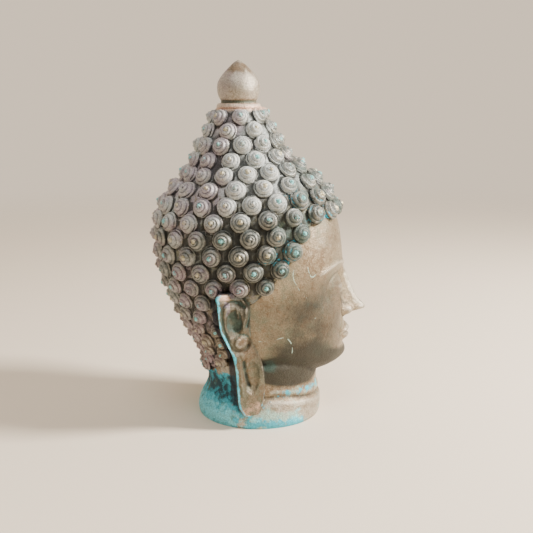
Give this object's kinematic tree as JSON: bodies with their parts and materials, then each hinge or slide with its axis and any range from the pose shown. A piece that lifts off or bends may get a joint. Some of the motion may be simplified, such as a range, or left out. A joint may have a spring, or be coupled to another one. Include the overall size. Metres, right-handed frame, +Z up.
{
  "type": "cast bronze head sculpture",
  "caption": "Cast bronze head with snail-shell curls, a topknot with a lotus-bud finial, long ear lobes and a flared round neck that it stands on.",
  "frame": {"origin": "centre of the flat round underside of the neck", "axes": "+Z up through the head to the tip of the bud, -Y out of the face, +X to the sculpture's own left"},
  "size_m": [0.1562, 0.1951, 0.32],
  "materials": {
    "patinated_bronze": "satin brown bronze with green and turquoise verdigris in the hollows, on the neck and on the rear rims of the ears"
  },
  "bodies": {
    "root": {"bronze_head": "patinated_bronze"}
  },
  "joints": []
}
